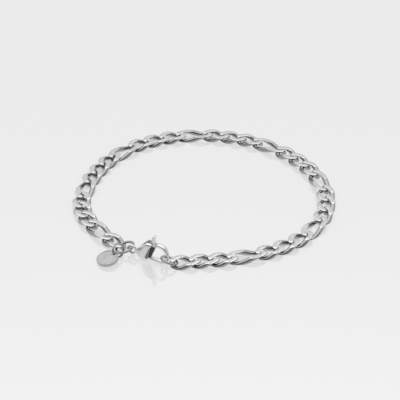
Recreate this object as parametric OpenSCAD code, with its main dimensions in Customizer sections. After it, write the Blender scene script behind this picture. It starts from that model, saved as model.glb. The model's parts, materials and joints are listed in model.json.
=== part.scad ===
// Figaro chain bracelet: flat-ground twisted links, a lobster clasp with a sprung lever, and a
// round tag on a small ring of its own. It lies on a flat surface as a closed loop, +Z up, with
// the origin on that surface at the middle of the loop.

/* [Chain] */
// Width across a link
chain_w = 5; // [4.95:0.05:5.4]
// Diameter of the wire that the links are bent from
wire_d = 1.4; // [1.1:0.05:1.4]
// Thickness of the chain after both of its faces are ground flat
chain_t = 1.45; // [1.4:0.05:1.8]
// Length inside a short link
short_in = 5.06; // [4.9:0.02:5.4]
// Length inside a long link
long_in = 7.88; // [6.8:0.02:9]
// Short links between one long link and the next
shorts = 3; // [3]
// Groups of short links with a long one after them
groups = 8; // [8]
// Free play where one link pulls on the next
link_play = 0.2; // [0.16:0.02:0.26]
// Share of its length by which the chain lies closer together in its loosest half
chain_slack = 0.06; // [0:0.01:0.08]
// Turn of a link's wire at its ends, out of the plane of the chain
end_twist = 52; // [50:1:55]

/* [Rings] */
// Outer diameter of the ring between the chain's end and the clasp's eye
end_ring_d = 5.5; // [5.4:0.05:6]
// Outer diameter of the ring that the hook catches
hook_ring_d = 4.95; // [4.8:0.05:5.4]
// Diameter of the wire of these two rings
ring_wire = 0.7; // [0.6:0.05:0.75]
// Outer diameter of the tag's own ring
tag_ring_d = 4.1; // [4:0.05:4.4]
// Diameter of the tag ring's wire
tag_ring_wire = 0.55; // [0.45:0.05:0.6]

/* [Tag] */
// Diameter of the tag
tag_d = 5.7; // [5.4:0.1:7]
// Thickness of the tag at its rim
tag_t = 0.9; // [0.7:0.05:1]
// Width of the tag's raised rim
tag_rim = 0.4; // [0.3:0.05:0.6]
// Depth of the field inside the rim
tag_sink = 0.12; // [0.05:0.01:0.2]
// Diameter of the hole that the tag hangs by
tag_hole = 1.05; // [1:0.05:1.2]
// Metal left between the tag's hole and its edge
tag_web = 0.22; // [0.15:0.01:0.35]
// Rise of the tag towards its ring
tag_tilt = 11; // [9:0.5:13]

/* [Clasp] */
// Length from the middle of the eye to the outside of the hook
hook_reach = 10.4; // [10:0.1:12]
// Height of the hook's loop
hook_h = 5.7; // [5.4:0.1:6.5]
// Width of the hook's metal, seen from the side
hook_w = 0.95; // [0.8:0.05:1]
// Thickness of the hook, across the clasp
hook_t = 1.4; // [1.2:0.05:1.5]
// Thickness of the body, across the clasp
body_t = 3; // [2.8:0.1:3.4]
// Diameter of the eye, to the middle of its wire
eye_d = 2.2; // [2.1:0.05:2.6]
// Diameter of the eye's wire
eye_wire = 0.7; // [0.6:0.05:0.75]
// Thickness of the lever
lever_t = 1.2; // [1:0.05:1.4]
// Room on each side of the lever
lever_side = 0.1; // [0.05:0.01:0.15]
// Room between the lever and the hook's tip
tip_gap = 0.12; // [0.08:0.01:0.2]
// Diameter of the pin that the lever turns on
pin_d = 0.8; // [0.6:0.05:0.9]
// Room round the pin in the lever
pin_play = 0.04; // [0.02:0.01:0.08]
// Height of the thumb tab above the hook's loop
tab_h = 2.1; // [1.6:0.05:2.4]

/* [Hidden] */
$fn = 48;
eps = 0.01;
// Height of what rests beside the ground links above the surface
rest_play = 0.03;

// Links in the order that they hang together, 1 for a long one
IS_LONG = concat([for (g = [1:groups], k = [0:shorts]) k == shorts ? 1 : 0], [0]);
LINKS = len(IS_LONG);
function inner(i) = IS_LONG[i] == 1 ? long_in : short_in;
// The link that lies in the tautest part of the chain, counted from 0, and the pitch of each link
TAUT = 10;
function pitch(i) = inner(i) * (1 - chain_slack * (1 - cos(360 * (i - TAUT) / LINKS)) / 2);
function link_name(i) = str("link_", i < 9 ? "0" : "", i + 1);

// Direction with a given way in plan and a given rise
function way(turn, rise = 0) = [cos(turn) * cos(rise), sin(turn) * cos(rise), sin(rise)];
function unit(v) = v / norm(v);
function plan(v) = [v[0], v[1]];

// Where the clasp stands: its eye in plan, and the turn of its length
EYE_AT = [-18.62, -26.45];
CLASP_TURN = -25;

// Side view of the clasp, x from the eye to the hook and y up, each round corner as the middle
// and the radius of its circle. A negative radius is a hollow corner. Places and radii are shares
// of the clasp's reach and height, and of the tab's height on the tab.
function corner(x, y, r) = [x * hook_reach, y * hook_h, r * hook_h];
hook_drop = 0.316 * hook_h;
hook_top = hook_h - hook_drop;
head_r = 0.456 * hook_h;
toe_r = 0.298 * hook_h;
head = [hook_reach - head_r, hook_top - head_r, head_r];
toe = [hook_reach - toe_r, toe_r - hook_drop, toe_r];
tail = [(eye_d + eye_wire) / 2 + 0.07 * eye_wire, 0, 0.78 * eye_wire];
heel = [0.567 * hook_reach, hook_w - hook_drop];
tip_turn = 106;
// The body: its lower and upper corners at the open end, and its shoulder
sole = corner(0.383, -0.149, 0.161);
brow = corner(0.562, 0.623, 0.053);
shoulder = corner(0.471, 0.5, 0.175);
// The lever: the pin's middle, its hub, the gate's foot and nose, the thumb tab and its two necks
pivot = [0.385 * hook_reach, 0.026 * hook_h];
hub_r = 0.132 * hook_h;
foot = corner(0.524, -0.026, 0.079);
tip_in = head[2] - hook_w;
nose = [head[0] - 0.415 * head_r - tip_gap, head[1] + 0.71 * head_r, 0.21 * head_r];
tab_top = [nose[0] - 0.08 * tab_h, hook_top + 0.81 * tab_h, 0.19 * tab_h];
tab_front = [nose[0] + 0.31 * tab_h, nose[1] + 0.56 * tab_h, -0.26 * tab_h];
tab_back = [nose[0] - 0.62 * tab_h, nose[1] + 0.44 * tab_h, -0.24 * tab_h];
// Floor of the slot for the lever, and how far along the clasp it goes
slot_floor = pivot[1] - hub_r - lever_side;
slot_front = brow[0] + 0.14 * hook_h;

EYE = [EYE_AT[0], EYE_AT[1], hook_drop + rest_play];

// How far inside a ring's wire the chain's end joints lie, how far the rings' middles lie past
// the hook's and the eye's wires, and past each other
joint_in = 0.12;
hook_slip = 0.64;
eye_slip = 0.185;
tag_slip = 0.47;

// The hook's upright, in plan, and the ring that hangs round it
HOOK_AT = EYE_AT + (hook_reach - hook_w / 2) * plan(way(CLASP_TURN));
hook_ring_in = hook_ring_d / 2 - ring_wire;
HOOK_RING = [HOOK_AT[0], HOOK_AT[1], 1.36] + (hook_ring_in - hook_w / 2 - hook_slip) * way(-7.1);
HOOK_RING_UP = [0.33, 0.226, 0.917];
// The joint between that ring and the first link
CHAIN_START = plan(HOOK_RING) + (hook_ring_in - joint_in) * plan(way(-8.4));

// The ring in the eye, and the joint between it and the last link
end_ring_r = (end_ring_d - ring_wire) / 2;
end_ring_in = end_ring_r - ring_wire / 2;
END_RING = EYE + (end_ring_r + eye_slip) * way(140.8, -12.3);
END_RING_UP = [-0.32, 0.056, 0.946];
CHAIN_END = plan(END_RING) + (end_ring_in - joint_in) * plan(way(130.6));

// The tag's ring on the end ring, and the tag's hole on its other side
tag_ring_r = (tag_ring_d - tag_ring_wire) / 2;
TAG_RING = END_RING + (end_ring_r + tag_slip) * way(-125.4, 14.1);
TAG_RING_UP = [0.698, -0.6, 0.39];
TAG_HOLE = plan(TAG_RING) + tag_ring_r * plan(way(-121.8, -27.2));
TAG_TURN = 28;
tag_arm = tag_d / 2 - tag_web - tag_hole / 2;

// Middle line of the chain on the surface, at chosen places about 10 apart, from the clasp's hook
// round to its eye. The loop is scaled until the links fill it.
ROUTE = [[-7.35, -30.95], [2.2, -29.8], [12.05, -27.9], [21.1, -23.55], [28.4, -16.6],
    [32.35, -7.1], [32.7, 3.15], [29.5, 12.6], [24, 20.35], [16.5, 26.35], [7.1, 30.15],
    [-3.15, 31.1], [-13.2, 28.6], [-22, 23.3], [-28.4, 14.45], [-32.1, 4.35], [-32.85, -6.3],
    [-28.4, -15.95], [-21.8, -23.4]];
LAST = len(ROUTE) - 1;

// The route grown by a factor, with its two ends kept on the joints that they start from
function grown(f) = let (a = CHAIN_START - f * ROUTE[0], b = CHAIN_END - f * ROUTE[LAST])
    [for (k = [0:LAST]) f * ROUTE[k] + a * (1 - k / LAST) + b * k / LAST];

// Point of the smooth curve through the places of a route, t counting them from the first
function along(r, t) =
    let (k = min(max(floor(t), 0), LAST - 1), s = t - k, p = r[k], q = r[k + 1],
         o = k > 0 ? r[k - 1] : 2 * p - q, n = k < LAST - 1 ? r[k + 2] : 2 * q - p)
    p + s * (q - o) / 2 + s * s * (2 * o - 5 * p + 4 * q - n) / 2
      + s * s * s * (3 * p - o - 3 * q + n) / 2;

// Next place on the curve that lies a link's pitch from the place t, found by halving
function next(r, t, d, lo, hi, n = 18) = n == 0 ? (lo + hi) / 2 :
    let (m = (lo + hi) / 2)
    norm(along(r, m) - along(r, t)) > d ? next(r, t, d, lo, m, n - 1) : next(r, t, d, m, hi, n - 1);

// Places of all the joints, from the first link's start to the last link's end
function joints(r, i = 0, t = 0) = i == LINKS ? [t] :
    concat([t], joints(r, i + 1, next(r, t, pitch(i), t, t + 2)));

// Growth at which the last joint falls on the route's end
function fitted(f, n = 6) = n == 0 ? f :
    fitted(f * (1 + (joints(grown(f))[LINKS] - LAST) / LAST), n - 1);

LOOP = grown(fitted(1));
JOINTS = [for (t = joints(LOOP)) along(LOOP, t)];

// Half the length and half the width of a link, to the middle of its wire
function half_l(i) = (inner(i) + link_play + wire_d) / 2;
half_w = (chain_w - wire_d) / 2;
wire_r = wire_d / 2;
// Rings of wall round each end of a link and along each side of it
END_STEPS = 9;
function side_steps(i) = IS_LONG[i] == 1 ? 6 : 4;

// Racetrack round a link, as points in the plane of the chain
function racetrack(i) =
    let (c = half_l(i) - half_w, m = side_steps(i))
    concat(
        [for (k = [0:END_STEPS]) half_w * plan(way(180 * k / END_STEPS - 90)) + [c, 0]],
        [for (k = [1:m - 1]) [c - 2 * c * k / m, half_w]],
        [for (k = [0:END_STEPS]) half_w * plan(way(180 * k / END_STEPS + 90)) - [c, 0]],
        [for (k = [1:m - 1]) [2 * c * k / m - c, -half_w]]);

// The wire's middle line: the racetrack turned evenly about the link's length
function twisted(p, i) = let (a = -end_twist * p[0] / half_l(i))
    [p[0], p[1] * cos(a), p[1] * sin(a)];

// Six corners round the wire, two of them on the edges of the ground face where there is one
function corners(a) = concat([a, 180 - a], [for (k = [1:4]) 180 - a + k * (180 + 2 * a) / 5]);
function ring_corners(p, t) =
    let (up = unit([0, 0, 1] - t * t[2]), side = cross(up, t),
         cut = (chain_t / 2 - abs(p[2])) / (wire_r * up[2]),
         a = corners(asin(min(max(cut, -0.8), sin(60)))))
    [for (k = [0:5]) let (w = p[2] >= 0 ? a[k] : a[(k + 3) % 6] + 180)
        p + wire_r * (cos(w) * side + sin(w) * up)];

// One link about its own middle, with its faces ground to the chain's thickness
module link_body(i) {
    line = [for (p = racetrack(i)) twisted(p, i)];
    n = len(line);
    points = [for (k = [0:n - 1]) each ring_corners(line[k],
        unit(line[(k + 1) % n] - line[(k + n - 1) % n]))];
    faces = [for (k = [0:n - 1], j = [0:5])
        let (a = 6 * k + j, b = 6 * k + (j + 1) % 6, c = 6 * ((k + 1) % n) + (j + 1) % 6,
             d = 6 * ((k + 1) % n) + j)
        each [[a, c, b], [a, d, c]]];
    polyhedron(points, faces);
}

module link(i) {
    a = JOINTS[i];
    b = JOINTS[i + 1];
    m = (a + b) / 2;
    color([0.82, 0.83, 0.85])
        translate([m[0], m[1], chain_t / 2])
        rotate([0, 0, atan2(b[1] - a[1], b[0] - a[0])])
        link_body(i);
}

// Moves what is drawn about Z so that Z points along up
module facing(at, up) {
    translate(at)
        rotate([0, acos(up[2] / norm(up)), atan2(up[1], up[0])])
        children();
}

module round_ring(mid_r, wire) {
    rotate_extrude() translate([mid_r, 0]) circle(d = wire);
}

module hook_ring() {
    color([0.78, 0.79, 0.81]) facing(HOOK_RING, HOOK_RING_UP)
        round_ring((hook_ring_d - ring_wire) / 2, ring_wire);
}

module end_ring() {
    color([0.78, 0.79, 0.81]) facing(END_RING, END_RING_UP) round_ring(end_ring_r, ring_wire);
}

module tag_ring() {
    color([0.78, 0.79, 0.81]) facing(TAG_RING, TAG_RING_UP) round_ring(tag_ring_r, tag_ring_wire);
}

// Plain round tag with a raised rim on both faces, tipped up at its hole
module tag() {
    middle = TAG_HOLE - tag_arm * cos(tag_tilt) * plan(way(TAG_TURN));
    low = tag_d / 2 * sin(tag_tilt) + tag_t / 2 * cos(tag_tilt) + rest_play;
    field = tag_d / 2 - tag_rim;
    color([0.75, 0.76, 0.78])
        translate([middle[0], middle[1], low])
        rotate([0, -tag_tilt, 0] + [0, 0, TAG_TURN])
        difference() {
            translate([0, 0, -tag_t / 2]) cylinder(h = tag_t, d = tag_d);
            for (side = [-1, 1])
                difference() {
                    translate([0, 0, side * tag_t / 2 - tag_sink])
                        cylinder(h = 2 * tag_sink, r = field);
                    translate([tag_arm, 0, -tag_t]) cylinder(h = 2 * tag_t, r = tag_hole / 2 + tag_web);
                }
            translate([tag_arm, 0, -tag_t]) cylinder(h = 2 * tag_t, d = tag_hole);
        }
}

// Turn of the outer side of a belt that runs from one circle to the next, anticlockwise
function side_turn(p, q) = atan2(q[1] - p[1], q[0] - p[0])
    - acos((p[2] - q[2]) / norm([q[0] - p[0], q[1] - p[1]]));

// Outline that a belt makes round a row of circles, its curves in steps of about 5 degrees
function belt(row) = let (n = len(row))
    [for (i = [0:n - 1])
        let (c = row[i], a = side_turn(row[(i + n - 1) % n], c), b = side_turn(c, row[(i + 1) % n]),
             over = (b - a) % 360, turn = c[2] > 0 ? (over < 0 ? over + 360 : over)
                 : (over > 0 ? over - 360 : over),
             steps = max(1, ceil(abs(turn) / 5)))
        each [for (k = [0:steps]) plan(c) + c[2] * plan(way(a + turn * k / steps))]];

// Points along part of a circle
function arc(c, r, a, b, steps) = [for (k = [0:steps]) plan(c) + r * plan(way(a + (b - a) * k / steps))];

// Stands a side view up as a slab of the given thickness, in the clasp's place
module slab(t) {
    rotate([90, 0, 0]) translate([0, 0, -t / 2]) linear_extrude(t) children();
}

module in_place() {
    translate(EYE) rotate([0, 0, CLASP_TURN]) children();
}

// Side view of the hook: from the eye along the back, round the loop to the tip, and back inside
module hook_side() {
    low = side_turn(tail, toe);
    polygon(concat(
        arc(tail, tail[2], 150, 360 + low, 24),
        arc(toe, toe[2], low, 0, 16),
        arc(head, head[2], 0, tip_turn, 22),
        arc(head, tip_in, tip_turn, 0, 22),
        arc(toe, toe[2] - hook_w, 0, -90, 14),
        [heel, [tail[0] + tail[2], 0.5 * tail[2]]]));
}

// Side view of the body: a drop shape that ends in a slanting face
module body_side() {
    polygon(belt([[tail[0] + 1.29 * eye_wire, 0, 1.79 * eye_wire], sole, brow, shoulder]));
}

// Plan of the body: slim at the eye, and full at the open end
module body_plan() {
    w = 0.2 * body_t;
    full = 0.346 * hook_reach;
    polygon(belt([[tail[0], 0, 0.71 * eye_wire], [full, -w, 0.28 * body_t],
        [hook_reach, -w, 0.3 * body_t], [hook_reach, w, 0.3 * body_t], [full, w, 0.28 * body_t]]));
}

// Side view of the slot between the cheeks, in which the lever swings back
module slot_side() {
    r = hub_r + lever_side;
    polygon(concat(arc(pivot, r, 180, 270, 12), [[slot_front, slot_floor],
        [slot_front, 2 * hook_top], [pivot[0] - r, 2 * hook_top]]));
}

module clasp_body() {
    color([0.8, 0.81, 0.83]) in_place() difference() {
        union() {
            rotate([90, 0, 0]) round_ring(eye_d / 2, eye_wire);
            slab(hook_t) hook_side();
            intersection() {
                slab(2 * body_t) body_side();
                translate([0, 0, -hook_top]) linear_extrude(3 * hook_top) body_plan();
            }
        }
        slab(lever_t + 2 * lever_side) slot_side();
        slab(2 * body_t) translate(pivot) circle(d = pin_d + 2 * eps);
    }
}

module clasp_pin() {
    color([0.7, 0.71, 0.73]) in_place() slab(body_t) translate(pivot) circle(d = pin_d);
}

// Gate and thumb tab in one piece, on its hub
module lever_side_view() {
    difference() {
        polygon(belt([[pivot[0], pivot[1], hub_r], foot, nose, tab_front, tab_top, tab_back]));
        translate(pivot) circle(d = pin_d + 2 * pin_play);
    }
}

module clasp_lever() {
    color([0.72, 0.73, 0.76]) in_place() slab(lever_t) lever_side_view();
}

for (i = [0:LINKS - 1]) link(i);
hook_ring();
end_ring();
tag_ring();
tag();
clasp_body();
clasp_pin();
clasp_lever();
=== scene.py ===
# %% [markdown]
# # A figaro bracelet in polished steel
# The bracelet lies closed on a pale, slightly glossy table: 33 ground curb links, a lobster clasp
# that stands on its edge, three wire rings and a small round tag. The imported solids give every
# place. This file puts a finely made piece on each of them, finishes the steel, and lights it.

# %% Load the frame
import json
from math import acos, atan2, ceil, cos, degrees, hypot, pi, radians, sin, sqrt
import bmesh
import bpy
import numpy as np
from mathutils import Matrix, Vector

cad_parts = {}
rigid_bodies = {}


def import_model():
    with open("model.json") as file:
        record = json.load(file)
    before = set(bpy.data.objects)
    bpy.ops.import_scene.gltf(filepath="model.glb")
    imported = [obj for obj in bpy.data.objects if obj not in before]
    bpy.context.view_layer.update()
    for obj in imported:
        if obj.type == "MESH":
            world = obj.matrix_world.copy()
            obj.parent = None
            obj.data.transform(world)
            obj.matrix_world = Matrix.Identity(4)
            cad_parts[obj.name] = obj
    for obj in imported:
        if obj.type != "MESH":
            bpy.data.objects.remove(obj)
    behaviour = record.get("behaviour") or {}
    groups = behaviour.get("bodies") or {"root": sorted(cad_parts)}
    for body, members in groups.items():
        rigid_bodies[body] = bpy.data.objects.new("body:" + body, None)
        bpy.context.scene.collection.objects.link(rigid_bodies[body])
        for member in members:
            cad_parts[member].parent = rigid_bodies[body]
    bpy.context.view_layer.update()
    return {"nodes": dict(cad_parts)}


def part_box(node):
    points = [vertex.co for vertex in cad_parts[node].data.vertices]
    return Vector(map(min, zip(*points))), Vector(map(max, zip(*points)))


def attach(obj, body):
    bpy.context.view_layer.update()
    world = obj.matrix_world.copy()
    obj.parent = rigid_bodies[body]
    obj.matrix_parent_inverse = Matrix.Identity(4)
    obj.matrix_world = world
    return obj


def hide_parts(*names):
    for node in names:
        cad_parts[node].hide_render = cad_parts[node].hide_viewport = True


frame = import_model()
MM = 0.001

# %% [markdown]
# ## Camera
# The loop looks like an ellipse nearly twice as wide as it is high, which sets the camera's
# height at 34 degrees. Its far side is hardly smaller than its near side, so the lens is long.

# %% Camera
LOOK_AT = Vector((-1.15, -0.91, 0)) * MM
CAMERA_RISE = radians(33.8)
CAMERA_FAR = 472.2 * MM

camera_data = bpy.data.cameras.new("camera")
camera_data.lens = 157.2
camera_data.sensor_width = 36
camera_data.clip_start = 0.01
camera = bpy.data.objects.new("camera", camera_data)
camera.location = LOOK_AT + CAMERA_FAR * Vector((0, -cos(CAMERA_RISE), sin(CAMERA_RISE)))
camera.rotation_euler = (pi / 2 - CAMERA_RISE, 0, 0)
bpy.context.scene.collection.objects.link(camera)
bpy.context.scene.camera = camera
print("camera at", [round(c / MM, 1) for c in camera.location], "mm")

# %% [markdown]
# ## Table and light
# Polished metal shows what stands round it. The light here is a white tent, bright above and
# behind the bracelet and dark towards the viewer, so faces that look up are light and edges that
# lean to the viewer draw dark lines. The table is a pale lit board under a coat of lacquer: its
# glow thins the shadows and lights the steel from below, and the lacquer mirrors the chain a little.

# %% Node helper
def put(tree, kind, links=(), **settings):
    """Adds a node to a tree, sets it up, and links other sockets into it by input name or place."""
    node = tree.nodes.new(kind)
    for key, value in settings.items():
        if hasattr(node, key):
            setattr(node, key, value)
        else:
            node.inputs[key.replace("_", " ")].default_value = value
    for target, source in dict(links).items():
        tree.links.new(source, node.inputs[target])
    return node


# %% Table
TABLE_GLOW, GLOW_SHARE, TABLE_IOR = 0.90, 0.75, 2.15
TABLE_HALF = 1.5
table_paint = bpy.data.materials.new("table_paint")
table_paint.use_nodes = True
paint = table_paint.node_tree
paint.nodes.remove(paint.nodes["Principled BSDF"])
board = put(paint, "ShaderNodeBsdfDiffuse", Color=(0.8, 0.8, 0.8, 1))
glow = put(paint, "ShaderNodeEmission", Strength=TABLE_GLOW)
lit = put(paint, "ShaderNodeMixShader", {1: board.outputs[0], 2: glow.outputs[0]})
lit.inputs[0].default_value = GLOW_SHARE
shine = put(paint, "ShaderNodeBsdfGlossy", Color=(1, 1, 1, 1), Roughness=0.05)
rise = put(paint, "ShaderNodeFresnel", IOR=TABLE_IOR)
lacquered = put(paint, "ShaderNodeMixShader", {0: rise.outputs[0], 1: lit.outputs[0], 2: shine.outputs[0]})
paint.links.new(lacquered.outputs[0], paint.nodes["Material Output"].inputs["Surface"])
table_mesh = bpy.data.meshes.new("table")
table_mesh.from_pydata([(x * TABLE_HALF, y * TABLE_HALF, 0) for x, y in ((-1, -1), (1, -1), (1, 1), (-1, 1))],
    [], [(0, 1, 2, 3)])
table_mesh.materials.append(table_paint)
table = bpy.data.objects.new("table", table_mesh)
bpy.context.scene.collection.objects.link(table)
print("table paint:", len(paint.nodes), "nodes")

# %% Light tent
bpy.context.scene.view_settings.view_transform = "Standard"
world = bpy.data.worlds.new("tent")
world.use_nodes = True
bpy.context.scene.world = world
tent = world.node_tree
tent_place = put(tent, "ShaderNodeTexCoord")
tent_way = put(tent, "ShaderNodeSeparateXYZ", {0: tent_place.outputs["Generated"]})


def tent_part(way, start, end, at_start, at_end):
    """Light that changes smoothly between two places along one way, +Y to the back or +Z up."""
    ramp = put(tent, "ShaderNodeMapRange", {"Value": tent_way.outputs[way]}, From_Min=start, From_Max=end,
        To_Min=at_start, To_Max=at_end, interpolation_type="SMOOTHSTEP")
    return ramp.outputs["Result"]


tent_back = tent_part("Y", -0.82, 0.30, 0.0, 0.74)  # dark at the viewer's side
tent_wall = tent_part("Z", 0.10, 0.34, 0.5, 0.0)  # a low white wall all round
tent_roof = tent_part("Z", 0.50, 0.82, 0.0, 0.74)
tent_sides = put(tent, "ShaderNodeMath", {0: tent_back, 1: tent_wall}, operation="MAXIMUM")
tent_sum = put(tent, "ShaderNodeMath", {0: tent_sides.outputs[0], 1: tent_roof}, operation="ADD")
tent_light = tent.nodes["Background"]
tent_light.inputs["Color"].default_value = (1, 1, 1, 1)
tent.links.new(tent_sum.outputs[0], tent_light.inputs["Strength"])
print("tent:", len(tent.nodes), "nodes")

# %% [markdown]
# ## The marks of polishing
# Polished steel is never a perfect mirror. It keeps fine hair scratches in every direction and
# a cloudy haze where it was handled. Two node groups make these, and every steel here uses both
# with its own amounts.

# %% Node group maker
def new_group(name, inputs, outputs):
    group = bpy.data.node_groups.new(name, "ShaderNodeTree")
    for label, kind, value in inputs:
        group.interface.new_socket(label, in_out="INPUT", socket_type=kind).default_value = value
    for label, kind in outputs:
        group.interface.new_socket(label, in_out="OUTPUT", socket_type=kind)
    return group, group.nodes.new("NodeGroupInput"), group.nodes.new("NodeGroupOutput")


# %% Hair scratches
scratches, s_in, s_out = new_group("hair_scratches",
    [("Scale", "NodeSocketFloat", 900.0), ("Amount", "NodeSocketFloat", 1.0)],
    [("Height", "NodeSocketFloat"), ("Mask", "NodeSocketFloat")])
place = put(scratches, "ShaderNodeTexCoord")
strokes = []
for angle, stretch in ((0.5, (14, 1, 5)), (2.1, (1, 12, 5))):
    turned = put(scratches, "ShaderNodeMapping", {"Vector": place.outputs["Object"]},
        Rotation=(0.3, 0.2, angle), Scale=stretch)
    strokes.append(put(scratches, "ShaderNodeTexNoise",
        {"Vector": turned.outputs[0], "Scale": s_in.outputs["Scale"]}, Detail=3.0, Roughness=0.6))
both = put(scratches, "ShaderNodeMath", {0: strokes[0].outputs["Fac"], 1: strokes[1].outputs["Fac"]},
    operation="MULTIPLY")
amount = put(scratches, "ShaderNodeMath", {0: both.outputs[0], 1: s_in.outputs["Amount"]},
    operation="MULTIPLY")
fine = put(scratches, "ShaderNodeMapRange", {"Value": both.outputs[0]}, From_Min=0.22, From_Max=0.42)
scratches.links.new(amount.outputs[0], s_out.inputs["Height"])
scratches.links.new(fine.outputs["Result"], s_out.inputs["Mask"])
print("hair_scratches:", len(scratches.nodes), "nodes")

# %% Handling haze
haze, h_in, h_out = new_group("handling_haze",
    [("Scale", "NodeSocketFloat", 350.0), ("Clear", "NodeSocketFloat", 0.1),
     ("Cloudy", "NodeSocketFloat", 0.2), ("Tint Low", "NodeSocketColor", (0.7, 0.7, 0.72, 1)),
     ("Tint High", "NodeSocketColor", (0.8, 0.8, 0.8, 1))],
    [("Roughness", "NodeSocketFloat"), ("Color", "NodeSocketColor")])
place = put(haze, "ShaderNodeTexCoord")
cloud = put(haze, "ShaderNodeTexNoise", {"Vector": place.outputs["Object"], "Scale": h_in.outputs["Scale"]},
    Detail=4.0, Roughness=0.55)
level = put(haze, "ShaderNodeMapRange", {"Value": cloud.outputs["Fac"], "To Min": h_in.outputs["Clear"],
    "To Max": h_in.outputs["Cloudy"]}, From_Min=0.35, From_Max=0.68)
blend = put(haze, "ShaderNodeMix", data_type="RGBA")
haze.links.new(cloud.outputs["Fac"], blend.inputs["Factor"])
haze.links.new(h_in.outputs["Tint Low"], blend.inputs[6])
haze.links.new(h_in.outputs["Tint High"], blend.inputs[7])
haze.links.new(level.outputs["Result"], h_out.inputs["Roughness"])
haze.links.new(blend.outputs[2], h_out.inputs["Color"])
print("handling_haze:", len(haze.nodes), "nodes")

# %% [markdown]
# ## The steels
# Every piece is the same metal, finished in its own way. The ground faces of the links are mirror
# flat and light, and the rest of their wire is tinted darker as painted shade for the dark gaps
# between the links, near the tint of the drawn wire of the rings. The tag has a fine satin. The
# clasp is polished by hand, and its chamfers and the sides of its gate are tinted dark as painted
# shade, and its slot is blasted, pale and dull. Metallic is 1, and the groups drive colour,
# roughness and bump.

# %% Steel maker
SCRATCH_ROUGH, SCRATCH_DEEP = 0.05, 0.02 * MM


def steel(name, low, high, clear, cloudy, haze_scale, scratch_scale, bump):
    """Steel with a tint from low to high, and a roughness from clear to cloudy."""
    material = bpy.data.materials.new(name)
    material.use_nodes = True
    tree = material.node_tree
    shader = tree.nodes["Principled BSDF"]
    shader.inputs["Metallic"].default_value = 1.0
    hazed = put(tree, "ShaderNodeGroup", node_tree=haze, Scale=haze_scale, Clear=clear, Cloudy=cloudy,
        Tint_Low=(*low, 1), Tint_High=(*high, 1))
    scratched = put(tree, "ShaderNodeGroup", node_tree=scratches, Scale=scratch_scale)
    rough = put(tree, "ShaderNodeMath", {0: scratched.outputs["Mask"], 2: hazed.outputs["Roughness"]},
        operation="MULTIPLY_ADD")
    rough.inputs[1].default_value = SCRATCH_ROUGH
    relief = put(tree, "ShaderNodeBump", {"Height": scratched.outputs["Height"]}, Strength=bump,
        Distance=SCRATCH_DEEP)
    tree.links.new(hazed.outputs["Color"], shader.inputs["Base Color"])
    tree.links.new(rough.outputs[0], shader.inputs["Roughness"])
    tree.links.new(relief.outputs["Normal"], shader.inputs["Normal"])
    return material


# %% Eight finishes
# tint from low to high, roughness from clear to cloudy, scales of haze and scratches, bump
chain_steel = steel("chain_steel", (0.70, 0.70, 0.71), (0.80, 0.80, 0.80), 0.07, 0.15, 500, 1500, 0.10)
# painted shade: the links' round wire is tinted darker than their ground faces, for the gaps between the
# links
shaded_wire_steel = steel("shaded_wire_steel", (0.33, 0.33, 0.34), (0.45, 0.45, 0.45), 0.08, 0.16, 500, 1500, 0.12)
ring_steel = steel("ring_steel", (0.38, 0.38, 0.39), (0.50, 0.50, 0.50), 0.10, 0.20, 500, 1500, 0.15)
clasp_steel = steel("clasp_steel", (0.74, 0.74, 0.75), (0.82, 0.82, 0.82), 0.12, 0.22, 400, 1200, 0.12)
tag_steel = steel("tag_steel", (0.43, 0.43, 0.44), (0.53, 0.53, 0.53), 0.22, 0.32, 500, 1800, 0.3)
# painted shade: the chamfers beside the gate are tinted dark
chamfer_shade_steel = steel("chamfer_shade_steel", (0.18, 0.18, 0.185), (0.27, 0.27, 0.27), 0.35, 0.5, 900, 1500, 0.5)
blasted_steel = steel("blasted_steel", (0.80, 0.80, 0.80), (0.88, 0.88, 0.88), 0.5, 0.65, 900, 1500, 0.5)
# painted shade: the gate's flat sides are tinted nearly black
gate_shade_steel = steel("gate_shade_steel", (0.05, 0.05, 0.052), (0.09, 0.09, 0.09), 0.25, 0.4, 900, 1500, 0.3)
print("steels:", len([m for m in bpy.data.materials if m.name.endswith("_steel")]))

# %% Painted shade on the gate's sides: dark low down, fading to light towards the thumb tab
DARK_UP_TO, LIGHT_FROM = 4.6 * MM, 5.2 * MM
tree = gate_shade_steel.node_tree
tint = tree.nodes["Principled BSDF"].inputs["Base Color"]
place = put(tree, "ShaderNodeTexCoord")
height = put(tree, "ShaderNodeSeparateXYZ", {0: place.outputs["Object"]})
above = put(tree, "ShaderNodeMapRange", {"Value": height.outputs["Z"]},
    From_Min=DARK_UP_TO, From_Max=LIGHT_FROM)
# painted shade: the dark tint is mixed into a light one by height, between DARK_UP_TO and LIGHT_FROM
shade_fade = put(tree, "ShaderNodeMix", {"Factor": above.outputs["Result"]}, data_type="RGBA")
tree.links.new(tint.links[0].from_socket, shade_fade.inputs[6])
shade_fade.inputs[7].default_value = (0.73, 0.73, 0.735, 1)
tree.links.new(shade_fade.outputs[2], tint)
print("gate_shade_steel:", len(tree.nodes), "nodes")

# %% [markdown]
# ## Making a piece
# Every piece is a mesh built point by point in millimetres, where it lies, and then scaled to
# metres. It is shaded smooth with normals weighted by face size, and where a bevel is asked for,
# edges steeper than a given angle are bevelled.

# %% Piece maker
def stitch(rings, closed=True, caps=False):
    """Faces between rings of points that all have the same number of points."""
    n, m = len(rings[0]), len(rings)
    faces = [(k * n + j, k * n + (j + 1) % n, ((k + 1) % m) * n + (j + 1) % n, ((k + 1) % m) * n + j)
             for k in range(m if closed else m - 1) for j in range(n)]
    if caps:
        faces += [tuple(range(n))[::-1], tuple(range((m - 1) * n, m * n))]
    return [p for ring in rings for p in ring], faces


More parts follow.
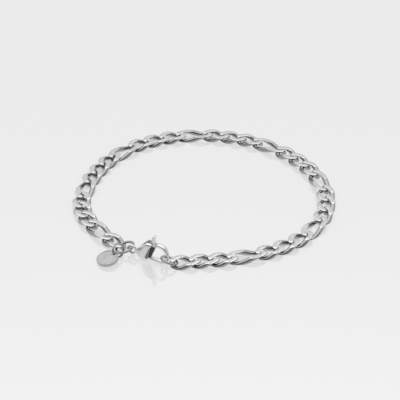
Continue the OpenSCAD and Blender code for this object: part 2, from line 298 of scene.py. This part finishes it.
def make(name, points, faces, material):
    """A mesh with its faces turned outwards."""
    mesh = bpy.data.meshes.new(name)
    mesh.from_pydata([Vector(p) * MM for p in points], [], faces)
    work = bmesh.new()
    work.from_mesh(mesh)
    bmesh.ops.recalc_face_normals(work, faces=work.faces)
    work.to_mesh(mesh)
    work.free()
    mesh.materials.append(material)
    piece = bpy.data.objects.new(name, mesh)
    bpy.context.scene.collection.objects.link(piece)
    return piece


def bake(piece):
    """Applies the modifiers of a piece."""
    bpy.context.view_layer.update()
    made = piece.evaluated_get(bpy.context.evaluated_depsgraph_get())
    mesh = bpy.data.meshes.new_from_object(made)
    piece.modifiers.clear()
    piece.data = mesh


def combine(piece, other, how):
    """Joins another piece's solid to a piece, or cuts it away, and deletes the other."""
    step = piece.modifiers.new(how, "BOOLEAN")
    step.operation = how
    step.solver = "EXACT"
    step.object = other
    bake(piece)
    bpy.data.objects.remove(other)


def finish(piece, node, body="bracelet", sharp=35, bevel=0.0):
    """Bevels the edges steeper than the sharp angle if a bevel is given, shades the piece smooth with
    face-weighted normals, and puts the piece on its solid.
    """
    if bevel:
        round_off = piece.modifiers.new("round_off", "BEVEL")
        round_off.width = bevel * MM
        round_off.segments = 2
        round_off.limit_method = "ANGLE"
        round_off.angle_limit = radians(sharp)
        bake(piece)
    piece.data.polygons.foreach_set("use_smooth", [True] * len(piece.data.polygons))
    even = piece.modifiers.new("even_faces", "WEIGHTED_NORMAL")
    even.keep_sharp = True
    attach(piece, body)
    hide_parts(node)
    return piece


# %% [markdown]
# ## A link
# A curb link starts as an oval of round wire, is twisted a quarter about its length, and the
# finished chain is ground on both sides until each link shows flat mirror faces. The mesh does
# the same: a racetrack, turned evenly along its length, swept with a round section whose top is
# cut at the grinding plane. Two points of the section always sit on the cut's edges.

# %% Sizes of the links
CHAIN_W, WIRE, CHAIN_T, LINK_PLAY, END_TWIST = 5.0, 1.4, 1.45, 0.2, 52
SHORT_IN, LONG_IN = 5.06, 7.88
HALF_W = (CHAIN_W - WIRE) / 2
SIDES = 26
EDGE = 0.045  # width of the softened edge round a ground face
is_long = ([False] * 3 + [True]) * 8 + [False]


# %% The twisted racetrack
def racetrack(inside, end_steps=26, side_steps=9):
    """Middle line of a link's wire, whose ends are turned opposite ways about its length."""
    half = (inside + LINK_PLAY + WIRE) / 2
    run = half - HALF_W
    line = [(run + HALF_W * sin(pi * k / end_steps), -HALF_W * cos(pi * k / end_steps))
            for k in range(end_steps + 1)]
    line += [(run - 2 * run * k / side_steps, HALF_W) for k in range(1, side_steps)]
    line += [(-x, -y) for x, y in line]
    turned = []
    for x, y in line:
        a = radians(-END_TWIST * x / half)
        turned.append(Vector((x, y * cos(a), y * sin(a))))
    return turned


# %% The ground section
def ground_section(depth):
    """Points round a wire, as (across, up), cut flat at a depth above the wire's middle."""
    r, even = WIRE / 2, 360 / SIDES
    cut = degrees(acos(min(max(depth / r, -1), 1)))
    inner, edge, outer = even / 2, even * 1.5, even * 2.5
    if cut > edge:
        edge, outer = cut, max(outer, cut + degrees(EDGE / r))
    elif cut > inner:
        inner = cut
        edge = max(edge, cut + 3)
    step = (360 - 2 * outer) / (SIDES - 5)
    angles = [-outer, -edge, -inner, inner, edge, outer] + [outer + step * k for k in range(1, SIDES - 5)]
    points = [(r * sin(radians(a)), min(r * cos(radians(a)), depth)) for a in angles]
    if cut > even * 1.5:
        flat = r * sin(radians(cut)) - EDGE
        points[2], points[3] = (-flat, depth), (flat, depth)
        points[1] = (points[1][0] + EDGE * 0.25, depth - EDGE * 0.22)
        points[4] = (points[4][0] - EDGE * 0.25, depth - EDGE * 0.22)
    return points


def link_rings(inside):
    """Sections along a link. Where its wire is low, the section hangs upside down."""
    line = racetrack(inside)
    rings = []
    for k, p in enumerate(line):
        t = (line[(k + 1) % len(line)] - line[k - 1]).normalized()
        up = (Vector((0, 0, 1)) - t * t.z).normalized()
        side = up.cross(t)
        face = 1 if p.z >= 0 else -1
        section = ground_section((CHAIN_T / 2 - abs(p.z)) / up.z)
        if face < 0:
            section = section[SIDES // 2:] + section[:SIDES // 2]
        rings.append([p + face * (side * x + up * z) for x, z in section])
    return rings


link_shapes = {True: link_rings(LONG_IN), False: link_rings(SHORT_IN)}
print("points in a short link:", SIDES * len(link_shapes[False]))


# %% The links, each where its solid lies
def lies(node):
    """Middle and heading of a link's solid. A half turn maps a link on itself, so both are exact."""
    low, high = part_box(node)
    middle = (low + high) / 2
    flat = np.array([(v.co.x - middle.x, v.co.y - middle.y) for v in frame["nodes"][node].data.vertices])
    xx, yy, xy = (flat[:, 0] ** 2).sum(), (flat[:, 1] ** 2).sum(), (flat[:, 0] * flat[:, 1]).sum()
    return middle / MM, 0.5 * atan2(2 * xy, xx - yy)


GROUND = 0.99  # faces that look this straight up or down are ground
for i, long in enumerate(is_long):
    node = f"link_{i + 1:02d}"
    middle, turn = lies(node)
    c, s = cos(turn), sin(turn)
    placed = [[Vector((middle.x + p.x * c - p.y * s, middle.y + p.x * s + p.y * c, p.z + CHAIN_T / 2))
               for p in ring] for ring in link_shapes[long]]
    # The ground faces get the light steel. The rest of the wire gets a darker steel, which is painted shade
    # for the gaps between the links.
    piece = make(f"steel_{node}", *stitch(placed), shaded_wire_steel)
    piece.data.materials.append(chain_steel)
    ground = [abs(face.normal.z) > GROUND for face in piece.data.polygons]
    piece.data.polygons.foreach_set("material_index", ground)
    finish(piece, node, sharp=60)
print("links made:", len(is_long))


# %% [markdown]
# ## The rings
# Jump rings are drawn round wire, wound on a rod, sawn and closed. Where the ends meet a hairline
# stays, so each ring has a narrow groove there. A torus swept ring by ring leaves room for it.

# %% Rings of wire
# outer diameter, wire, and the seam's place in degrees
RING_SIZES = {"hook_ring": (4.95, 0.7, 200), "end_ring": (5.5, 0.7, 20), "tag_ring": (4.1, 0.55, 100)}
# the groove, as places along the ring in mm and the share of the wire that is left there
SEAM = ((-0.035, 1), (-0.015, 0.96), (0, 0.86), (0.015, 0.96), (0.035, 1))


def wire_ring(centre, axis, mid_r, wire_r, seam=None, around=84, sides=24):
    """A torus, with a groove at the angle of the seam."""
    axis = axis.normalized()
    a = axis.orthogonal().normalized()
    b = axis.cross(a)
    turns = [(2 * pi * k / around, 1.0) for k in range(around)]
    if seam is not None:
        s0 = round(seam / 360 * around) * 2 * pi / around
        turns = [t for t in turns if abs(t[0] - s0) > 1e-6]
        turns += [(s0 + d / mid_r, f) for d, f in SEAM]
        turns.sort()
    rings = []
    for t, f in turns:
        out = a * cos(t) + b * sin(t)
        rings.append([centre + out * (mid_r + f * wire_r * cos(q)) + axis * (f * wire_r * sin(q))
                      for q in (2 * pi * j / sides for j in range(sides))])
    return stitch(rings)


for node, (outer_d, wire, seam) in RING_SIZES.items():
    points = np.array([v.co for v in frame["nodes"][node].data.vertices])
    low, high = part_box(node)
    axis = Vector(np.linalg.eigh(np.cov(points.T))[1][:, 0])
    if axis.z < 0:
        axis = -axis
    torus = wire_ring((low + high) / 2 / MM, axis, (outer_d - wire) / 2, wire / 2, seam)
    finish(make(f"wire_{node}", *torus, ring_steel), node)
    print(node, "axis", [round(c, 2) for c in axis])

# %% [markdown]
# ## The tag
# A coin-like disc: a rounded rim, a satin field pressed a little below it with one fine ring
# struck into it, and a raised lip round the hole. A height is worked out for every point of a
# round grid, the same on both faces, and the hole is then drilled through.

# %% Shape of the tag
TAG_D, TAG_T, TAG_RIM, TAG_SINK, TAG_HOLE, TAG_WEB = 5.7, 0.9, 0.4, 0.12, 1.05, 0.22
TAG_TILT, TAG_TURN = radians(11), radians(28)
TAG_ARM = TAG_D / 2 - TAG_WEB - TAG_HOLE / 2
TAG_EDGE, TAG_SLOPE, STRUCK_R, STRUCK_DEEP = 0.16, 0.05, 1.55, 0.04
# the rows of the grid lie close together where the height changes
RADII = [0.02, 0.4, 0.8, 1.2, 1.42, 1.46, 1.5, 1.55, 1.6, 1.64, 1.68, 1.85, 2.0, 2.15, 2.3, 2.38,
         2.42, 2.46, 2.5, 2.54, 2.62, 2.69, 2.73, 2.77, 2.81, 2.835, 2.85]


def ease(x, a, b):
    """Smooth step from 0 at a to 1 at b."""
    t = min(max((x - a) / (b - a), 0), 1)
    return t * t * (3 - 2 * t)


def tag_height(r, turn):
    """Height of the tag's face above its middle plane."""
    to_hole = hypot(r * cos(turn) - TAG_ARM, r * sin(turn))
    rim_at, lip_at = TAG_D / 2 - TAG_RIM, TAG_HOLE / 2 + TAG_WEB
    field = 1 - ease(r, rim_at - TAG_SLOPE, rim_at + TAG_SLOPE)
    field *= ease(to_hole, lip_at - TAG_SLOPE, lip_at + TAG_SLOPE)
    ring = ease(abs(r - STRUCK_R), 0.09, 0.03) * ease(to_hole, 0.8, 0.9)
    fall = TAG_EDGE - sqrt(max(TAG_EDGE ** 2 - max(r - (TAG_D / 2 - TAG_EDGE), 0) ** 2, 0))
    return TAG_T / 2 - TAG_SINK * field * (1 - 0.25 * ease(r, 2.2, 0)) - STRUCK_DEEP * ring * field - fall


# %% Tag
tag_low, tag_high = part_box("tag")
tag_mid = (tag_low + tag_high) / 2 / MM
out = Vector((cos(TAG_TURN) * cos(TAG_TILT), sin(TAG_TURN) * cos(TAG_TILT), sin(TAG_TILT)))
across = Vector((-sin(TAG_TURN), cos(TAG_TURN), 0))
up = out.cross(across)
turns = [2 * pi * k / 120 for k in range(120)]
tag_rings = [[tag_mid + out * r * cos(t) + across * r * sin(t) + up * side * tag_height(r, t) for t in turns]
             for side, row in ((1, RADII), (-1, RADII[::-1])) for r in row]
tag = make("steel_tag", *stitch(tag_rings, closed=False, caps=True), tag_steel)
drill_rings = [[tag_mid + out * (TAG_ARM + TAG_HOLE / 2 * cos(t)) + across * TAG_HOLE / 2 * sin(t) + up * h
                for t in turns[::2]] for h in (-1, 1)]
drill = make("drill", *stitch(drill_rings, closed=False, caps=True), tag_steel)
combine(tag, drill, "DIFFERENCE")
finish(tag, "tag", sharp=40, bevel=0.03)
print("tag faces:", len(tag.data.polygons))

# %% [markdown]
# ## The clasp
# A lobster clasp is one casting: an eye, a drop-shaped body and a hook. All three are seen best
# from the side, so their outlines are drawn there and lofted: pairs of points on the two edges of
# the outline, with a rounded section between them. The lever's slot is then cut into the body,
# and a slanted chamfer into each cheek, beside the gate.

# %% Where the clasp stands
EYE = Vector((-18.62, -26.45, 1.8312))
CLASP_TURN = radians(-25)
ALONG = Vector((cos(CLASP_TURN), sin(CLASP_TURN), 0))
ACROSS = Vector((-sin(CLASP_TURN), cos(CLASP_TURN), 0))


def stand(u, w, v=0.0):
    """A point of the side view, at a distance in front of or behind the clasp's middle."""
    return EYE + ALONG * u + ACROSS * v + Vector((0, 0, w))


# %% Circles of the outlines, each a middle and a radius
HOOK_REACH, HOOK_H, HOOK_W, HOOK_T, BODY_T, LEVER_T, TAB_H = 10.4, 5.7, 0.95, 1.4, 3.0, 1.2, 2.1
TIP_TURN, TIP_GAP, EYE_WIRE, PIN_R, PIN_ROOM, LEVER_SIDE = 106, 0.12, 0.7, 0.4, 0.04, 0.1


def corner(x, y, r):
    """A round corner of the side view: its middle and radius as shares of the clasp's size."""
    return (x * HOOK_REACH, y * HOOK_H, r * HOOK_H)


HOOK_DROP, HEAD_R, TOE_R = 0.316 * HOOK_H, 0.456 * HOOK_H, 0.298 * HOOK_H
HOOK_TOP = HOOK_H - HOOK_DROP
HEAD = (HOOK_REACH - HEAD_R, HOOK_TOP - HEAD_R, HEAD_R)
TOE = (HOOK_REACH - TOE_R, TOE_R - HOOK_DROP, TOE_R)
TAIL, HOOK_TAIL = (1.499 + 1.29 * EYE_WIRE, 0, 1.79 * EYE_WIRE), (1.499, 0, 0.78 * EYE_WIRE)
SOLE, BROW, SHOULDER = corner(0.383, -0.149, 0.161), corner(0.562, 0.623, 0.053), corner(0.471, 0.5, 0.175)
PIVOT, HUB_R, FOOT = corner(0.385, 0.026, 0)[:2], 0.132 * HOOK_H, corner(0.524, -0.026, 0.079)


# %% Outlines from circles
def side_turn(p, q):
    """Turn of the outer side of a belt that runs from one circle to the next, anticlockwise."""
    return degrees(atan2(q[1] - p[1], q[0] - p[0]) - acos((p[2] - q[2]) / hypot(q[0] - p[0], q[1] - p[1])))


def on_circle(circle, turn, inset=0.0):
    """The point of a circle at a turn in degrees, or of one that lies inside it by an inset."""
    q = radians(turn)
    return (circle[0] + (circle[2] - inset) * cos(q), circle[1] + (circle[2] - inset) * sin(q))


def belt(circles, step=5.0):
    """Outline round a row of circles. A negative radius makes a hollow corner."""
    points = []
    for i, c in enumerate(circles):
        a, b = side_turn(circles[i - 1], c), side_turn(c, circles[(i + 1) % len(circles)])
        turn = (b - a) % 360 if c[2] > 0 else -((a - b) % 360)
        steps = max(1, ceil(abs(turn) / step))
        points += [on_circle(c, a + turn * k / steps) for k in range(steps + 1)]
    return points


def along(points, fraction):
    """The point at a fraction of a row's length."""
    lengths = [hypot(q[0] - p[0], q[1] - p[1]) for p, q in zip(points, points[1:])]
    left = fraction * sum(lengths)
    for p, q, d in zip(points, points[1:], lengths):
        if left <= d:
            f = left / d if d else 0
            return (p[0] + (q[0] - p[0]) * f, p[1] + (q[1] - p[1]) * f)
        left -= d
    return points[-1]


# %% Lofting between two edges
def loft(pairs, thickness, power, sides=40):
    """Rounded sections between pairs of points. A higher power makes a squarer section."""
    def rounded(x):
        return abs(x) ** (2 / power) * (1 if x > 0 else -1)

    circle = [(rounded(cos(2 * pi * k / sides)), rounded(sin(2 * pi * k / sides))) for k in range(sides)]
    rings = []
    for (lu, lw), (hu, hw) in pairs:
        mu, mw, du, dw = (lu + hu) / 2, (lw + hw) / 2, (hu - lu) / 2, (hw - lw) / 2
        t = thickness(mu, mw)
        rings.append([stand(mu + du * a, mw + dw * a, t * b) for a, b in circle])
    return stitch(rings, closed=False, caps=True)


# %% Body
NECK_HALF = 0.42
STATIONS = [0.004, 0.012, 0.025, 0.045, 0.07] + [0.1 + 0.9 * k / 30 for k in range(31)]
outline = belt([TAIL, SOLE, BROW, SHOULDER])
first = min(range(len(outline)), key=lambda k: outline[k][0])
outline = outline[first:] + outline[:first]
low_end = max((k for k in range(len(outline)) if outline[k][1] < 0), key=lambda k: outline[k][0])
high_end = max(range(len(outline)), key=lambda k: outline[k][0])
lower, upper = outline[:low_end + 1], (outline[high_end:] + outline[:1])[::-1]
body_pairs = [(along(lower, f), along(upper, f)) for f in STATIONS]


def body_half(u, w):
    """Half the body's thickness, which grows from the neck to the cheeks."""
    return NECK_HALF + (BODY_T / 2 - NECK_HALF) * ease(u, 1.0, 4.0)


body = make("steel_clasp_body", *loft(body_pairs, body_half, 5.5), clasp_steel)
print("body:", len(body_pairs), "sections")

# %% Hook and eye
low_turn = side_turn(HOOK_TAIL, TOE)
under = [on_circle(HOOK_TAIL, low_turn), on_circle(TOE, low_turn)]
inner_row = [(2.0, 0.3), (5.9, HOOK_W - HOOK_DROP), (TOE[0] - 0.12, HOOK_W - HOOK_DROP)]
hook_pairs = [(along(under, f), along(inner_row, f)) for f in (k / 16 for k in range(16))]
for circle, hook_turns in ((TOE, [low_turn * (1 - k / 16) for k in range(17)]),
                           (HEAD, [TIP_TURN * k / 30 for k in range(1, 31)])):
    hook_pairs += [(on_circle(circle, turn), on_circle(circle, turn, HOOK_W)) for turn in hook_turns]
hook = make("hook", *loft(hook_pairs, lambda u, w: HOOK_T / 2, 2.9, sides=32), clasp_steel)
eye = make("eye", *wire_ring(EYE, ACROSS, 1.1, 0.35, around=64), clasp_steel)
combine(body, hook, "UNION")
combine(body, eye, "UNION")
print("casting faces:", len(body.data.polygons))

# %% The lever's slot and the chamfers
slot_r = HUB_R + LEVER_SIDE
slot_end = BROW[0] + 0.14 * HOOK_H
ABOVE_ALL = 8  # higher than the clasp
slot_line = [on_circle((*PIVOT, slot_r), a) for a in range(180, 271, 9)]
slot_line += [(slot_end, PIVOT[1] - slot_r), (slot_end, ABOVE_ALL), (PIVOT[0] - slot_r, ABOVE_ALL)]
slot_rings = [[stand(u, w, v) for u, w in slot_line]
              for v in (-LEVER_T / 2 - LEVER_SIDE, LEVER_T / 2 + LEVER_SIDE)]
slot = make("slot", *stitch(slot_rings, closed=False, caps=True), clasp_steel)

# A wedge of three corners, each a distance past the body's straight end and a depth off its
# middle, cuts a chamfer. It is swept up along the end, and thins as told at three heights.
end_turn = radians(side_turn(SOLE, BROW))
out_u, out_w = cos(end_turn), sin(end_turn)
end_at = SOLE[0] * out_u + SOLE[1] * out_w + SOLE[2]
CHAMFER = ((end_at + 0.3, 1.12), (end_at + 0.3, 1.9), (end_at - 2.1, 1.9))
CHAMFER_RISE = ((0.3, 0.5), (0.9, 0.02), (6, 0.22))
# The chamfers take a dark steel that is painted shade. The slot takes the pale blasted finish.
CHAMFERED, BLASTED = 1, 2  # places of the two finishes in the body's list of materials
cuts = [(slot, BLASTED)]
for side in (-1, 1):
    wedge = [[stand(d * out_u - h * out_w, d * out_w + h * out_u, side * (v + thin)) for d, v in CHAMFER]
             for h, thin in CHAMFER_RISE]
    cuts.append((make("wedge", *stitch(wedge, closed=False, caps=True), clasp_steel), CHAMFERED))
for piece in [body] + [cut for cut, _ in cuts]:
    piece.data.materials.append(chamfer_shade_steel)
    piece.data.materials.append(blasted_steel)
for cut, look in cuts:
    cut.data.polygons.foreach_set("material_index", [look] * len(cut.data.polygons))
    combine(body, cut, "DIFFERENCE")
finish(body, "clasp_body", sharp=35, bevel=0.035)
print("clasp body faces:", len(body.data.polygons))

# %% [markdown]
# ## The lever and its pin
# The lever is stamped flat and tumbled, so it is an extruded outline with rounded edges. Making
# each circle of the outline a little smaller gives the next row of the rounding. The pin is a
# rivet, and its two ends show as small domes on the cheeks.

# %% Lever
NOSE = (HEAD[0] - 0.415 * HEAD_R - TIP_GAP, HEAD[1] + 0.71 * HEAD_R, 0.21 * HEAD_R)
TAB_TOP = (NOSE[0] - 0.08 * TAB_H, HOOK_TOP + 0.81 * TAB_H, 0.19 * TAB_H)
TAB_FRONT = (NOSE[0] + 0.31 * TAB_H, NOSE[1] + 0.56 * TAB_H, -0.26 * TAB_H)
TAB_BACK = (NOSE[0] - 0.62 * TAB_H, NOSE[1] + 0.44 * TAB_H, -0.24 * TAB_H)
lever_circles = [(*PIVOT, HUB_R), FOOT, NOSE, TAB_FRONT, TAB_TOP, TAB_BACK]
ROUND = 0.16
SIDE_FACE = 0.98  # faces that look this straight along the pin are the lever's flat sides
rounding = [(ROUND * (1 - sin(q)), LEVER_T / 2 - ROUND * (1 - cos(q)))
            for q in (pi / 2 * k / 4 for k in range(5))]
lever_rings = []
for side, rows in ((-1, rounding), (1, rounding[::-1])):
    for shrink, v in rows:
        row = belt([(x, y, r - shrink) for x, y, r in lever_circles])
        lever_rings.append([stand(u, w, side * v) for u, w in row])
lever = make("steel_clasp_lever", *stitch(lever_rings, closed=False, caps=True), clasp_steel)
lever.data.materials.append(gate_shade_steel)
# The lever's flat sides take the gate's dark steel, which is painted shade.
lever.data.polygons.foreach_set("material_index",
    [abs(face.normal.dot(ACROSS)) > SIDE_FACE for face in lever.data.polygons])
print("lever:", len(lever_rings), "rows of", len(lever_rings[0]), "points")


# %% Bore and pin
def rod(radius, half, dome=0.0, sides=48):
    """A rod along the lever's axis, flat or domed at both ends."""
    rows = [(radius, -half), (radius, half)]
    if dome:
        cap = [(radius * cos(q), half + dome * sin(q)) for q in (radians(a) for a in (15, 32, 50, 68, 84))]
        rows = [(r, -v) for r, v in cap[::-1]] + rows + cap
    return stitch([[stand(PIVOT[0] + r * cos(2 * pi * k / sides), PIVOT[1] + r * sin(2 * pi * k / sides), v)
        for k in range(sides)] for r, v in rows], closed=False, caps=True)


combine(lever, make("bore", *rod(PIN_R + PIN_ROOM, 1), clasp_steel), "DIFFERENCE")
finish(lever, "clasp_lever", body="lever", sharp=50)
pin = make("steel_clasp_pin", *rod(PIN_R, BODY_T / 2 - 0.06, dome=0.08), clasp_steel)
finish(pin, "clasp_pin")
print("lever faces:", len(lever.data.polygons))

# %% Measure and finish
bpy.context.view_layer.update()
shown = [o for o in bpy.data.objects if o.type == "MESH" and not o.hide_render]
print("triangles:", sum(len(p.vertices) - 2 for o in shown for p in o.data.polygons))
